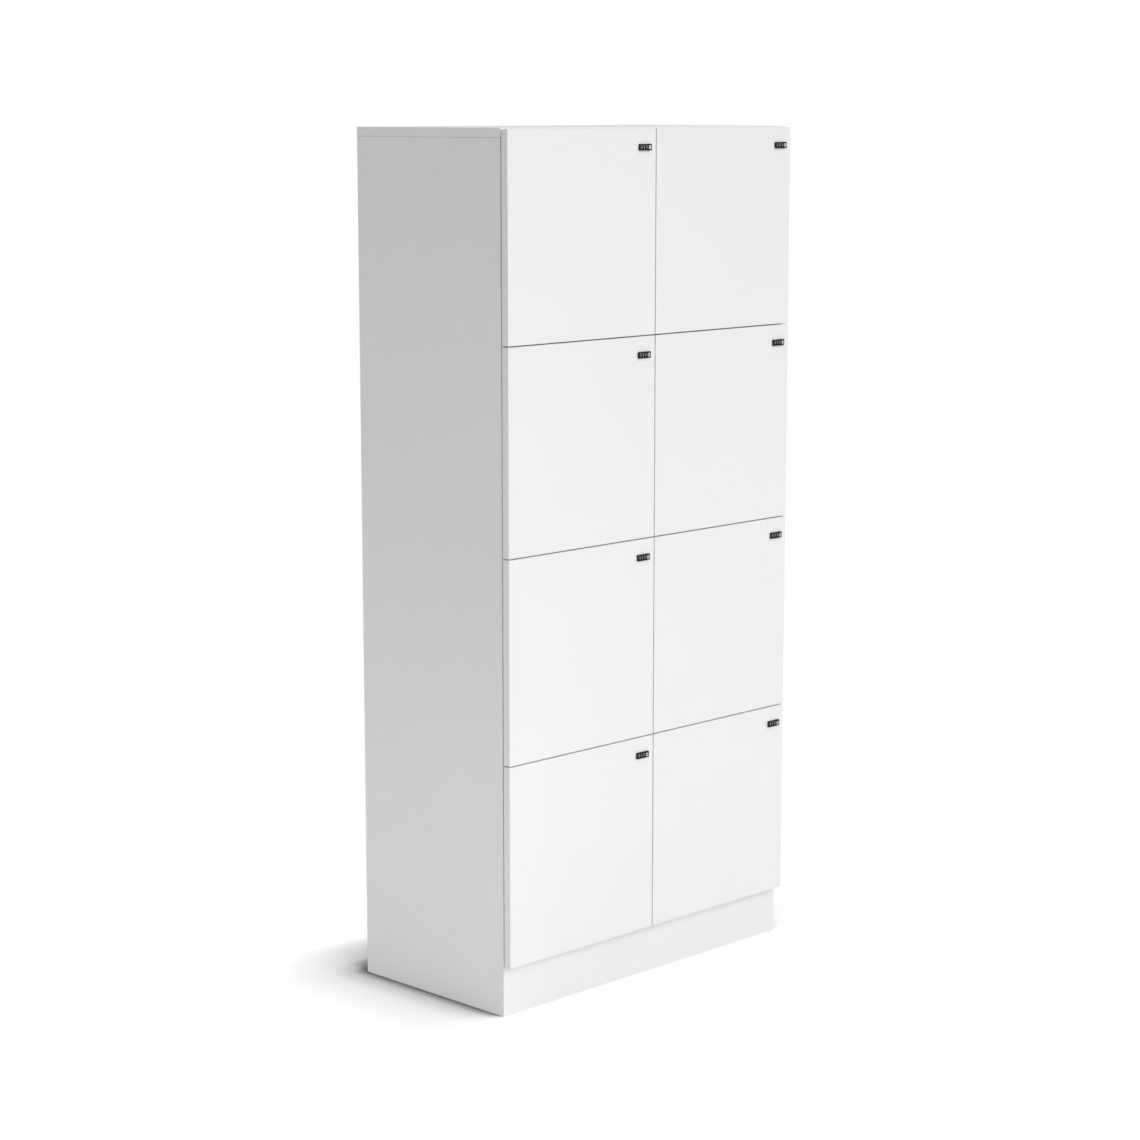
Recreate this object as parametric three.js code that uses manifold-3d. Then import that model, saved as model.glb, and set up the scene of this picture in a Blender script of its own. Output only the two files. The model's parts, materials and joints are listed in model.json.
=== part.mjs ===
// Parcel locker: two columns of four equal compartments in a white laminated-board carcass, each
// closed by an overlay door on concealed hinges and a small combination lock with three dials.
// Millimetres. X runs from left to right, Y from front to back and Z up. The origin is on the
// floor, in the middle of the whole outline, lock knobs included.

import * as THREE from "three";
import { mergeVertices } from "three/addons/utils/BufferGeometryUtils.js";
import Module from "manifold-3d";

const wasm = await Module();
wasm.setup();

// Carcass
const WIDTH = 800;
const CARCASS_DEPTH = 400;
const BOARD = 18;
const BACK_BOARD = 8;
const BACK_RECESS = 2; // from the rear edges of the side panels to the back panel
const PLINTH_HEIGHT = 100;
const LEVELS = 4;
const LEVEL_HEIGHT = 400;
const HEIGHT = PLINTH_HEIGHT + LEVELS * LEVEL_HEIGHT;

// Doors
const DOOR_THICKNESS = 16;
const DOOR_STANDOFF = 2.75; // from the carcass's front edges to the door's back
const DOOR_REVEAL = 0.5; // from the side panel's outer face to the door's edge
const DOOR_SPACING = 2.5; // between two neighbouring doors
const DOOR_WIDTH = (WIDTH - 2 * DOOR_REVEAL - DOOR_SPACING) / 2;
const DOOR_HEIGHT = LEVEL_HEIGHT - DOOR_SPACING;

// Blind bores for the hinge cups, in the back of the door
const CUP_RADIUS = 17.5;
const CUP_DEPTH = 11.5;
const CUP_FROM_EDGE = 21.5;
const CUP_FROM_END = 80;

// Combination lock; its X is counted from the middle of its case
const LOCK_FROM_EDGE = 31.75;
const LOCK_FROM_TOP = 36;
const CASE_WIDTH = 33.5;
const CASE_HEIGHT = 12.5;
const CASE_PROUD = 3.75;
const CASE_CORNER = 1.5;
const CASE_SKIN = 0.8; // front wall over the dials
const HOUSING_WIDTH = 31.5; // the part of the case inside the door
const HOUSING_HEIGHT = 11.2;
const CLEARANCE = 0.3;

const DIALS = 3;
const DIAL_RADIUS = 4.6;
const DIAL_GROOVE = 0.35; // depth of the finger grooves between digits
const DIAL_WIDTH = 5.4;
const DIAL_PROUD = 0.8;
const DIAL_PITCH = 7.2;
const FIRST_DIAL_X = -11.75;
const DIAL_BORE = 1.5;
const DIAL_AXLE = 1.2;
const DIAL_WINDOW = 7.6; // height of the slot that a dial looks out of
const DIGITS = 10;
const DIAL_Y = DIAL_RADIUS - CASE_PROUD - DIAL_PROUD;

const KNOB_X = 9.4;
const KNOB_RADIUS = 3.7;
const KNOB_THICKNESS = 2.2;
const KNOB_SLOT_WIDTH = 1.1;
const KNOB_SLOT_DEPTH = 0.9;
const KNOB_PROUD = KNOB_THICKNESS + CLEARANCE;
const SPINDLE_RADIUS = 1.6;
const BARREL_RADIUS = 3.2;
const BARREL_LENGTH = 12; // behind the door's back
const CAM_WIDTH = 6;
const CAM_THICKNESS = 2.5;
const NUT_RADIUS = 3;
const NUT_THICKNESS = 1.5;
const ROUND_SIDES = 20;

// Keeper slots, routed in the boards beside the locks, that the cams turn into
const KEEPER_DEPTH = 10;
const CAM_ENGAGEMENT = 8.5;
const KEEPER_CLEARANCE = 1.5;

// Places that follow from the sizes above
const TOTAL_DEPTH = CARCASS_DEPTH + DOOR_STANDOFF + DOOR_THICKNESS + CASE_PROUD + KNOB_PROUD;
const BACK = TOTAL_DEPTH / 2;
const FRONT = BACK - CARCASS_DEPTH;
const DOOR_FRONT = FRONT - DOOR_STANDOFF - DOOR_THICKNESS;
const INSIDE_BACK = BACK - BACK_RECESS - BACK_BOARD;
const INNER = WIDTH / 2 - BOARD; // inner face of each side panel
const CAM_FRONT = DOOR_THICKNESS + BARREL_LENGTH + CLEARANCE; // counted from the door's front
const COLUMNS = [
  { name: "left", doorX: DOOR_REVEAL - WIDTH / 2, boardFace: -BOARD / 2 },
  { name: "right", doorX: DOOR_SPACING / 2, boardFace: INNER },
];
const LEVEL_NUMBERS = Array.from({ length: LEVELS }, (unused, i) => i + 1);

const WHITE_BOARD = { color: 0xefefed, roughness: 0.55, metalness: 0 };
const BACK_BOARD_FINISH = { color: 0xe6e6e3, roughness: 0.6, metalness: 0 };
const BLACK_LACQUER = { color: 0x18191b, roughness: 0.4, metalness: 0 };
const DIAL_PLASTIC = { color: 0x202124, roughness: 0.5, metalness: 0 };
const CHROME = { color: 0xd8dadc, roughness: 0.15, metalness: 1 };

// Geometry helpers

function box(low, high) {
  const size = low.map((value, i) => high[i] - value);
  const middle = low.map((value, i) => (value + high[i]) / 2);
  return new THREE.BoxGeometry(...size).translate(...middle);
}

// A cylinder along Y, from one Y to another.
function rod(radius, fromY, toY, sides = ROUND_SIDES) {
  const cylinder = new THREE.CylinderGeometry(radius, radius, toY - fromY, sides);
  return cylinder.translate(0, (fromY + toY) / 2, 0);
}

// A shape drawn in X and Z, extruded along Y.
function extrudeAlongY(shape, fromY, toY) {
  const options = { depth: toY - fromY, bevelEnabled: false, curveSegments: 3 };
  return new THREE.ExtrudeGeometry(shape, options).rotateX(Math.PI / 2).translate(0, toY, 0);
}

function roundedRectangle(width, height, radius) {
  const x = width / 2;
  const z = height / 2;
  const shape = new THREE.Shape();
  shape.moveTo(-x + radius, -z);
  shape.lineTo(x - radius, -z);
  shape.absarc(x - radius, -z + radius, radius, -Math.PI / 2, 0);
  shape.lineTo(x, z - radius);
  shape.absarc(x - radius, z - radius, radius, 0, Math.PI / 2);
  shape.lineTo(-x + radius, z);
  shape.absarc(-x + radius, z - radius, radius, Math.PI / 2, Math.PI);
  shape.lineTo(-x, -z + radius);
  shape.absarc(-x + radius, -z + radius, radius, Math.PI, 1.5 * Math.PI);
  return shape;
}

function polarPoint(radius, angle) {
  return new THREE.Vector2(radius * Math.cos(angle), radius * Math.sin(angle));
}

function toSolid(geometry) {
  const bare = geometry.clone();
  bare.deleteAttribute("normal");
  bare.deleteAttribute("uv");
  const merged = mergeVertices(bare, 1e-4);
  const vertProperties = new Float32Array(merged.attributes.position.array);
  const triVerts = new Uint32Array(merged.index.array);
  return new wasm.Manifold(new wasm.Mesh({ numProp: 3, vertProperties, triVerts }));
}

function toGeometry(solid) {
  const mesh = solid.getMesh();
  const geometry = new THREE.BufferGeometry();
  geometry.setAttribute("position", new THREE.BufferAttribute(mesh.vertProperties, 3));
  geometry.setIndex(new THREE.BufferAttribute(mesh.triVerts, 1));
  return geometry;
}

// Joins the first list of geometries and cuts the second list out of them.
function carve(joined, cuts) {
  const whole = joined.map(toSolid).reduce((sum, piece) => sum.add(piece));
  return toGeometry(cuts.map(toSolid).reduce((rest, piece) => rest.subtract(piece), whole));
}

function part(name, geometry, finish) {
  const material = new THREE.MeshStandardMaterial({ ...finish, flatShading: true });
  const mesh = new THREE.Mesh(geometry, material);
  mesh.name = name;
  return mesh;
}

// Carcass

function shelfHeights() {
  return LEVEL_NUMBERS.slice(1).map((level) => PLINTH_HEIGHT + (level - 1) * LEVEL_HEIGHT);
}

function lockHeight(level) {
  return PLINTH_HEIGHT + (level - 1) * LEVEL_HEIGHT + DOOR_HEIGHT - LOCK_FROM_TOP;
}

function knobToBoard(column) {
  return column.boardFace - (column.doorX + DOOR_WIDTH - LOCK_FROM_EDGE + KNOB_X);
}

function camLength(column) {
  return knobToBoard(column) + CAM_ENGAGEMENT;
}

// The pockets that the cams of one column turn into, tall enough for the cam's swing.
function keeperSlots(column) {
  const reach = Math.hypot(camLength(column), CAM_WIDTH / 2);
  const below = Math.sqrt(reach ** 2 - knobToBoard(column) ** 2) + KEEPER_CLEARANCE;
  const above = CAM_WIDTH / 2 + KEEPER_CLEARANCE;
  const nearY = DOOR_FRONT + CAM_FRONT - KEEPER_CLEARANCE;
  const farY = DOOR_FRONT + CAM_FRONT + CAM_THICKNESS + KEEPER_CLEARANCE;
  return LEVEL_NUMBERS.map((level) =>
    box(
      [column.boardFace - 1, nearY, lockHeight(level) - below],
      [column.boardFace + KEEPER_DEPTH, farY, lockHeight(level) + above],
    ),
  );
}

function sidePanel(side) {
  const low = side < 0 ? -WIDTH / 2 : INNER;
  return box([low, FRONT, 0], [low + BOARD, BACK, HEIGHT - BOARD]);
}

function sidePanelRight() {
  return carve([sidePanel(1)], keeperSlots(COLUMNS[1]));
}

// The partition and the shelves are halved into each other: the partition is slotted from the
// front and each shelf from the back.
function centrePartition() {
  const half = BOARD / 2;
  const panel = box([-half, FRONT, PLINTH_HEIGHT + BOARD], [half, INSIDE_BACK, HEIGHT - BOARD]);
  const middle = (FRONT + INSIDE_BACK) / 2;
  const slots = shelfHeights().map((z) =>
    box([-half - 1, FRONT - 1, z - half], [half + 1, middle, z + half]),
  );
  return carve([panel], [...slots, ...keeperSlots(COLUMNS[0])]);
}

function shelf(z) {
  const half = BOARD / 2;
  const middle = (FRONT + INSIDE_BACK) / 2;
  const slot = box([-half, middle, z - half - 1], [half, INSIDE_BACK + 1, z + half + 1]);
  return carve([box([-INNER, FRONT, z - half], [INNER, INSIDE_BACK, z + half])], [slot]);
}

function topPanel() {
  return box([-WIDTH / 2, FRONT, HEIGHT - BOARD], [WIDTH / 2, BACK, HEIGHT]);
}

function bottomPanel() {
  return box([-INNER, FRONT, PLINTH_HEIGHT], [INNER, INSIDE_BACK, PLINTH_HEIGHT + BOARD]);
}

function backPanel() {
  return box([-INNER, INSIDE_BACK, PLINTH_HEIGHT], [INNER, INSIDE_BACK + BACK_BOARD, HEIGHT - BOARD]);
}

function plinthBoard(frontY) {
  return box([-INNER, frontY, 0], [INNER, frontY + BOARD, PLINTH_HEIGHT]);
}

function carcass() {
  const group = new THREE.Group();
  const boards = {
    side_panel_left: sidePanel(-1),
    side_panel_right: sidePanelRight(),
    centre_partition: centrePartition(),
    top_panel: topPanel(),
    bottom_panel: bottomPanel(),
    plinth_front: plinthBoard(FRONT),
    plinth_rear: plinthBoard(INSIDE_BACK - BOARD),
  };
  for (const [name, geometry] of Object.entries(boards)) {
    group.add(part(name, geometry, WHITE_BOARD));
  }
  shelfHeights().forEach((z, i) => group.add(part(`shelf_${i + 1}`, shelf(z), WHITE_BOARD)));
  group.add(part("back_panel", backPanel(), BACK_BOARD_FINISH));
  return group;
}

// Door: its origin is the lower left corner of its front face.

function doorPanel() {
  const panel = box([0, 0, 0], [DOOR_WIDTH, DOOR_THICKNESS, DOOR_HEIGHT]);
  const cupHeights = [CUP_FROM_END, DOOR_HEIGHT - CUP_FROM_END];
  const cups = cupHeights.map((z) =>
    rod(CUP_RADIUS, DOOR_THICKNESS - CUP_DEPTH, DOOR_THICKNESS + 1).translate(CUP_FROM_EDGE, 0, z),
  );
  const cutout = box(
    [-HOUSING_WIDTH / 2 - CLEARANCE, -1, -HOUSING_HEIGHT / 2 - CLEARANCE],
    [HOUSING_WIDTH / 2 + CLEARANCE, DOOR_THICKNESS + 1, HOUSING_HEIGHT / 2 + CLEARANCE],
  ).translate(DOOR_WIDTH - LOCK_FROM_EDGE, 0, DOOR_HEIGHT - LOCK_FROM_TOP);
  return carve([panel], [...cups, cutout]);
}

// Lock: its origin is the middle of its case, on the door's front face.

function dialX(number) {
  return FIRST_DIAL_X + (number - 1) * DIAL_PITCH;
}

function dialPocket(number) {
  const x = dialX(number);
  const halfWidth = DIAL_WIDTH / 2 + CLEARANCE;
  const halfHeight = DIAL_RADIUS + CLEARANCE;
  return [
    box([x - halfWidth, -CASE_PROUD - 1, -DIAL_WINDOW / 2], [x + halfWidth, 0, DIAL_WINDOW / 2]),
    box(
      [x - halfWidth, CASE_SKIN - CASE_PROUD, -halfHeight],
      [x + halfWidth, DOOR_THICKNESS + 1, halfHeight],
    ),
  ];
}

// A front plate with rounded corners, the housing and the barrel behind it, and the dials' axle.
function lockCase() {
  const plate = roundedRectangle(CASE_WIDTH, CASE_HEIGHT, CASE_CORNER);
  const front = extrudeAlongY(plate, -CASE_PROUD, 0);
  const housing = box(
    [-HOUSING_WIDTH / 2, -1, -HOUSING_HEIGHT / 2],
    [HOUSING_WIDTH / 2, DOOR_THICKNESS, HOUSING_HEIGHT / 2],
  );
  const barrel = rod(BARREL_RADIUS, 0, DOOR_THICKNESS + BARREL_LENGTH).translate(KNOB_X, 0, 0);
  const bore = rod(SPINDLE_RADIUS + CLEARANCE, -CASE_PROUD - 1, CAM_FRONT).translate(KNOB_X, 0, 0);
  const pockets = Array.from({ length: DIALS }, (unused, i) => dialPocket(i + 1)).flat();
  const hollow = toSolid(carve([front, housing, barrel], [...pockets, bore]));
  const axleEnds = [dialX(1) - DIAL_WIDTH / 2 - 1, dialX(DIALS) + DIAL_WIDTH / 2 + 1];
  const axle = rod(DIAL_AXLE, ...axleEnds, 10).rotateZ(-Math.PI / 2).translate(0, DIAL_Y, 0);
  return toGeometry(hollow.add(toSolid(axle)));
}

// A wheel round X with one flat for each digit and a groove between two flats.
function dial() {
  const step = (2 * Math.PI) / DIGITS;
  const outline = [];
  for (let digit = 0; digit < DIGITS; digit++) {
    const middle = digit * step - Math.PI / 2;
    outline.push(polarPoint(DIAL_RADIUS, middle - step / 3));
    outline.push(polarPoint(DIAL_RADIUS, middle + step / 3));
    outline.push(polarPoint(DIAL_RADIUS - DIAL_GROOVE, middle + step / 2));
  }
  const shape = new THREE.Shape(outline);
  const bore = new THREE.Path();
  bore.absarc(0, 0, DIAL_BORE, 0, 2 * Math.PI, true);
  shape.holes.push(bore);
  const options = { depth: DIAL_WIDTH, bevelEnabled: false, curveSegments: 6 };
  const wheel = new THREE.ExtrudeGeometry(shape, options);
  return wheel.translate(0, 0, -DIAL_WIDTH / 2).rotateY(Math.PI / 2);
}

// The knob, its spindle through the door, and the cam hanging down behind it, held by a nut.
function lockKnob(column) {
  const front = -CASE_PROUD - KNOB_PROUD;
  const camBack = CAM_FRONT + CAM_THICKNESS;
  const half = CAM_WIDTH / 2;
  const pieces = [
    rod(KNOB_RADIUS, front, front + KNOB_THICKNESS, 24),
    rod(SPINDLE_RADIUS, front + 1, camBack, 12),
    rod(half, CAM_FRONT, camBack),
    box([-half, CAM_FRONT, -camLength(column)], [half, camBack, 0]),
    rod(NUT_RADIUS, camBack - 1, camBack + NUT_THICKNESS, 6),
  ];
  const slot = box(
    [-KNOB_RADIUS - 1, front - 1, -KNOB_SLOT_WIDTH / 2],
    [KNOB_RADIUS + 1, front + KNOB_SLOT_DEPTH, KNOB_SLOT_WIDTH / 2],
  );
  return carve(pieces, [slot]);
}

function lock(column, label) {
  const group = new THREE.Group();
  group.position.set(DOOR_WIDTH - LOCK_FROM_EDGE, 0, DOOR_HEIGHT - LOCK_FROM_TOP);
  group.add(part(`lock_case_${label}`, lockCase(), BLACK_LACQUER));
  const knob = part(`lock_knob_${label}`, lockKnob(column), CHROME);
  knob.position.x = KNOB_X;
  group.add(knob);
  for (let number = 1; number <= DIALS; number++) {
    const wheel = part(`lock_dial_${label}_${number}`, dial(), DIAL_PLASTIC);
    wheel.position.set(dialX(number), DIAL_Y, 0);
    group.add(wheel);
  }
  return group;
}

function door(column, level) {
  const label = `${column.name}_${level}`;
  const group = new THREE.Group();
  group.position.set(column.doorX, DOOR_FRONT, PLINTH_HEIGHT + (level - 1) * LEVEL_HEIGHT);
  group.add(part(`door_${label}`, doorPanel(), WHITE_BOARD));
  group.add(lock(column, label));
  return group;
}

const locker = new THREE.Group();
locker.add(carcass());
for (const column of COLUMNS) {
  for (const level of LEVEL_NUMBERS) {
    locker.add(door(column, level));
  }
}

export default locker;
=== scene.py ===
# Looks of the parcel locker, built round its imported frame.
# Metres; X runs from left to right, Y from front to back and Z up.

import json
import math

import bmesh
import bpy
from mathutils import Matrix, Vector
from mathutils.geometry import convex_hull_2d


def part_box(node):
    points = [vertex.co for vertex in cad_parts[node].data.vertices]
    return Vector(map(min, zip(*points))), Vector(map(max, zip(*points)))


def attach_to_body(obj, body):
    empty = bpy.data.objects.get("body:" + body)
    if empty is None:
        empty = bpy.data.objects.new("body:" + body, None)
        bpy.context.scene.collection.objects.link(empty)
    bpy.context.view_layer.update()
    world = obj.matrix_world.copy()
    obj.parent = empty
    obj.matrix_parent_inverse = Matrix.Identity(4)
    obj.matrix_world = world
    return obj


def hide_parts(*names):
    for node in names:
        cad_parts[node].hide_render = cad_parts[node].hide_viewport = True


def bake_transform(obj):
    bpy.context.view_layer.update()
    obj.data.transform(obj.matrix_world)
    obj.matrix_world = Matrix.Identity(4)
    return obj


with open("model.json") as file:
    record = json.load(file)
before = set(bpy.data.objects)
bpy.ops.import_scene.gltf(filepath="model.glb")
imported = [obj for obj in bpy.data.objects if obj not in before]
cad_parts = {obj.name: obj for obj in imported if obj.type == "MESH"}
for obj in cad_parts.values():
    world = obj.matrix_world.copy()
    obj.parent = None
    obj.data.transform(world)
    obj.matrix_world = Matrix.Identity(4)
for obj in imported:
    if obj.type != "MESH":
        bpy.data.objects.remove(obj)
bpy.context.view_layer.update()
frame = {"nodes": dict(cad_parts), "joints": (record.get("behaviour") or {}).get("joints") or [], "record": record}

MM = 0.001

# Camera: its place is counted from the middle of the carcass's footprint.
CAMERA_OFFSET = Vector((-3.908, -3.862, 1.740))
CAMERA_YAW = math.radians(45.22)
CAMERA_PITCH = math.radians(9.65)
CAMERA_LENS_MM = 86.22
CAMERA_SENSOR_MM = 36
CAMERA_NEAR = 0.05
CAMERA_FAR = 200

# Light. A lamp's direction points from the object to the lamp.
SKY_LOW = 0.35  # brightness at the horizon and below it
SKY_HIGH = 0.8  # brightness overhead
KEY_LIGHT = 1.66
KEY_TOWARDS = Vector((0.28, -0.88, 0.36))
KEY_SPREAD = math.radians(60)
BACK_LIGHT = 0.8
BACK_TOWARDS = Vector((0, 1, 0.25))
BACK_SPREAD = math.radians(40)
FLOOR_RADIUS = 3.2
FLOOR_SIDES = 128
BOUNCE_LEFT = 1.05  # how bright the floor is to the object, on each side of BOUNCE_EDGE
BOUNCE_RIGHT = 0.68
BOUNCE_EDGE = (-0.6, -0.25)  # where the floor's light gives way from left to right
SHADOW_LEAN = (0.06, -1.0, 0.05)  # the direction round which the floor's shadow is gathered
SHADOW_LAYERS = ((0.03, 1.25), (0.08, 1.1), (0.2, 1.25))  # reach in metres, and strength
SHADOW_SAMPLES = 8
SHADOW_CLEAR = 1.01  # the floor's brightness in the picture, with nothing near it
SHADOW_DARKEST = 0.1

# Colours
BOARD_WHITE = (0.86, 0.86, 0.855)
BOARD_CLOUD = 0.985  # these three are shares of the board's white
BOARD_SEAM = 0.72
BOARD_JOINT = 0.3
FIBREBOARD_PALE = (0.8, 0.8, 0.785)
FIBREBOARD_SHADED = (0.74, 0.74, 0.72)
LACQUER_BLACK = (0.006, 0.007, 0.009)
LACQUER_RUBBED = (0.012, 0.0135, 0.0165)
DIAL_BLACK = (0.016, 0.017, 0.019)
DIAL_WORN = (0.035, 0.036, 0.038)
PRINT_PALE = (0.78, 0.78, 0.76)
PRINT_WORN = (0.5, 0.5, 0.49)
CHROME_DULL = (0.74, 0.75, 0.76)
CHROME_BRIGHT = (0.8, 0.81, 0.82)
# painted shade: the near-black given to the inside of the knob's slot in place of the shade there
SLOT_SHADE_COLOUR = (0.02, 0.021, 0.024)
PLASTIC_WHITE = (0.83, 0.83, 0.82)
PLASTIC_SHADED = (0.76, 0.76, 0.745)
NICKEL_BRIGHT = (0.64, 0.63, 0.61)
NICKEL_STAINED = (0.5, 0.49, 0.475)

# Edges and roundness
SMOOTH_ANGLE = math.radians(35)
BEVEL_ANGLE = math.radians(30)
BEVEL_SEGMENTS = 2
BOARD_BEVEL = 0.3 * MM
CASE_BEVEL = 0.2 * MM
DIAL_BEVEL = 0.12 * MM
COVER_BEVEL = 0.3 * MM
HINGE_BEVEL = 0.2 * MM
SCREW_BEVEL = 0.15 * MM
FIXINGS_BEVEL = 0.12 * MM
THIN_BEVEL = 0.08 * MM  # on the knob and the keeper plate
HEXAGON = 6
ROUND_SIDES = 32
PIN_SIDES = 20
SCREW_SIDES = 24
CAP_SIDES = 40
CUP_SIDES = 64

# Boards
BAND_THICKNESS = 1.0 * MM
BAND_SEAM = 0.12 * MM
JOINT_GAP = 0.45 * MM  # the dark hairline where the top panel lies on the boards below it

# Concealed hinges. X and Y are counted from the door's pivot, and Z from the middle of the cup.
CUP_FROM_END = 80 * MM
CUP_X = 17.5 * MM
CUP_RADIUS = 17.2 * MM
CUP_DEPTH = 11.2 * MM
CUP_WALL = 0.8 * MM
CUP_CORNER = 2 * MM
CUP_INNER_CORNER = 1.6 * MM
CUP_BELOW_FLANGE = 0.1 * MM
FLANGE_RADIUS = 19.3 * MM
FLANGE_THICKNESS = 1.0 * MM
FLANGE_PLAY = 0.2 * MM  # between the flange's opening and the cup's inside
EAR_X = 6 * MM  # from the cup's middle
EAR_Z = 24 * MM
EAR_RADIUS = 6 * MM
CHEEK_Z = 6.6 * MM
CHEEK_THICKNESS = 1.2 * MM
CHEEK_RADIUS = 2.6 * MM
CHEEK_PIN_PROUD = 0.2 * MM
PLATE_Y = 52.75 * MM
WING_Z = 16 * MM
WING_RADIUS = 6 * MM
WING_THICKNESS = 2 * MM
TONGUE_ENDS = (-24 * MM, 11 * MM)  # the next three are counted from PLATE_Y
SADDLE_ENDS = (-20 * MM, 8 * MM)
ARM_SCREWS = ((4 * MM, 3.4 * MM), (-12 * MM, 2.6 * MM))  # place, and radius
TONGUE_WIDTH = 14 * MM
TONGUE_THICKNESS = 2.4 * MM
SADDLE_WIDTH = 9.2 * MM
ARM_HEIGHT = 11 * MM  # above the board's face
ARM_WIDTH = 13 * MM
ARM_DEPTH = 9 * MM
ARM_WALL = 1.3 * MM
ARM_PIN_PROUD = 0.5 * MM
ARM_TIP = (2.2 * MM, -1.7 * MM)  # from the outer pin, across and along the arm
ARM_CRANK = (7 * MM, 18 * MM)  # where the arm's slope starts and ends, along from the outer pin
ARM_TAIL = 10 * MM  # past PLATE_Y
PIN_RADIUS = 1.3 * MM
PIN_CHAMFER = 0.25 * MM
EYE_RADIUS = 2.1 * MM
EYE_PLAY = 0.1 * MM
OUTER_ARM_PIN = (21.5 * MM, 16 * MM)
OUTER_CUP_PIN = (17.5 * MM, 8 * MM)
INNER_ARM_PIN = (16.5 * MM, 15.9 * MM)
INNER_CUP_PIN = (9.5 * MM, 5.2 * MM)
OUTER_LINK_WIDTH = 9 * MM
INNER_LINK_WIDTH = 6 * MM
LINK_THICKNESS = 1.4 * MM
LINK_LENGTHS = 24

# Screws, as shares of the head's radius or height
RECESS_REACH = 0.62
RECESS_HALF_WIDTH = 0.13
RECESS_FLOOR_RADIUS = 0.95
RECESS_FLOOR_HEIGHT = 0.4

# Locks
DIALS = 3
DIGITS = 10
DIGIT_SIZE = 3.5 * MM
DIGIT_BOLDNESS = 0.09 * MM
DIGIT_RAISE = 0.02 * MM
DIGIT_CURVE_STEPS = 3
INDEX_X = -15.6 * MM  # from the middle of the case
INDEX_LENGTH = 0.9 * MM
INDEX_HEIGHT = 1.2 * MM
INDEX_RAISE = 0.04 * MM
INDEX_SUNK = 0.02 * MM
KNOB_THICKNESS = 2.2 * MM
KNOB_CHAMFER = 0.35 * MM
KNOB_KNURLS = 40
KNOB_KNURL_DEPTH = 0.1 * MM
KNOB_SLOT_WIDTH = 1.1 * MM
KNOB_SLOT_DEPTH = 0.9 * MM
KNOB_CUT_PAST = 1.0 * MM  # how far the slot's cutter reaches out of the knob
# how far past the knob's slot walls and floor the painted shade reaches
SLOT_SHADE_MARGIN = 0.01 * MM
TURNING_PITCH = 0.12 * MM
SPINDLE_RADIUS = 1.6 * MM
SPINDLE_IN_KNOB = 0.5 * MM
SPINDLE_SHORT = 0.2 * MM  # of the nut's end
CAM_WIDTH = 6 * MM
CAM_TAPER = 0.1 * MM
CAM_THICKNESS = 2.5 * MM
WASHER_RADIUS = 2.9 * MM
WASHER_THICKNESS = 0.3 * MM
NUT_RADIUS = 2.9 * MM
NUT_THICKNESS = 1.5 * MM  # with the washer
BARREL_RADIUS = 3.2 * MM
COVER_WIDTH = 43 * MM
COVER_HEIGHT = 15 * MM
COVER_CORNER = 2.5 * MM
COVER_THICKNESS = 1.2 * MM
COVER_PLAY = 0.2 * MM
COVER_SCREW_X = 18.6 * MM
RING_NUT_RADIUS = 4.6 * MM
RING_NUT_THICKNESS = 2.4 * MM
RING_NUT_TURN = math.radians(30)
RING_NUT_PLAY = 0.05 * MM
KEEPER_RIM = 4.5 * MM
KEEPER_THICKNESS = 0.5 * MM

# Small fittings. A profile's points are shares of the radius and of the thickness.
BUFFER_RADIUS = 3.2 * MM
BUFFER_THICKNESS = 2.4 * MM
BUFFER_PROFILE = ((0, 0), (1, 0), (1, 0.5), (0.8, 0.88), (0.45, 1), (0, 1))
BUFFER_FROM_EDGE = 3.9 * MM
BUFFER_FROM_END = 14 * MM
CAP_RADIUS = 8.75 * MM
CAP_THICKNESS = 0.9 * MM
CAP_PROFILE = ((0, 0), (1, 0), (1, -0.5), (0.9, -1), (0, -1))
CAP_INSET = 28 * MM
BACK_SCREW_X = (70 * MM, 215 * MM, 360 * MM)
BACK_SCREW_SHARES = (0.3, 0.65)  # of the way up each level

LABELS = [f"{column}_{level}" for column in ("left", "right") for level in (1, 2, 3, 4)]
SHELVES = ["shelf_1", "shelf_2", "shelf_3"]
CARCASS_BOARDS = [
    "side_panel_left",
    "side_panel_right",
    "centre_partition",
    "top_panel",
    "bottom_panel",
    "plinth_front",
    "plinth_rear",
    *SHELVES,
]


# ---------------------------------------------------------------- materials


class Nodes:
    """A node tree, with the few helpers that the materials, the floor and the sky share."""

    def __init__(self, tree):
        self.tree = tree

    def node(self, kind, **inputs):
        made = self.tree.nodes.new(kind)
        for name, value in inputs.items():
            self.feed(made.inputs[name.replace("_", " ")], value)
        return made

    def feed(self, socket, value):
        """Links an input to another node's output, or sets it where value isn't an output."""
        if isinstance(value, bpy.types.NodeSocket):
            self.tree.links.new(value, socket)
        else:
            socket.default_value = value

    def math(self, operation, *values):
        made = self.tree.nodes.new("ShaderNodeMath")
        made.operation = operation
        for socket, value in zip(made.inputs, values):
            self.feed(socket, value)
        return made.outputs[0]

    def axes(self, coordinates):
        """The X, Y and Z of one of the texture coordinates."""
        place = self.tree.nodes.new("ShaderNodeTexCoord").outputs[coordinates]
        return self.node("ShaderNodeSeparateXYZ", Vector=place).outputs

    def remap(self, value, low, high, to_low=0.0, to_high=1.0):
        bounds = {"From_Min": low, "From_Max": high, "To_Min": to_low, "To_Max": to_high}
        return self.node("ShaderNodeMapRange", Value=value, **bounds).outputs[0]

    def seen_by_camera(self):
        return self.tree.nodes.new("ShaderNodeLightPath").outputs["Is Camera Ray"]


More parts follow.
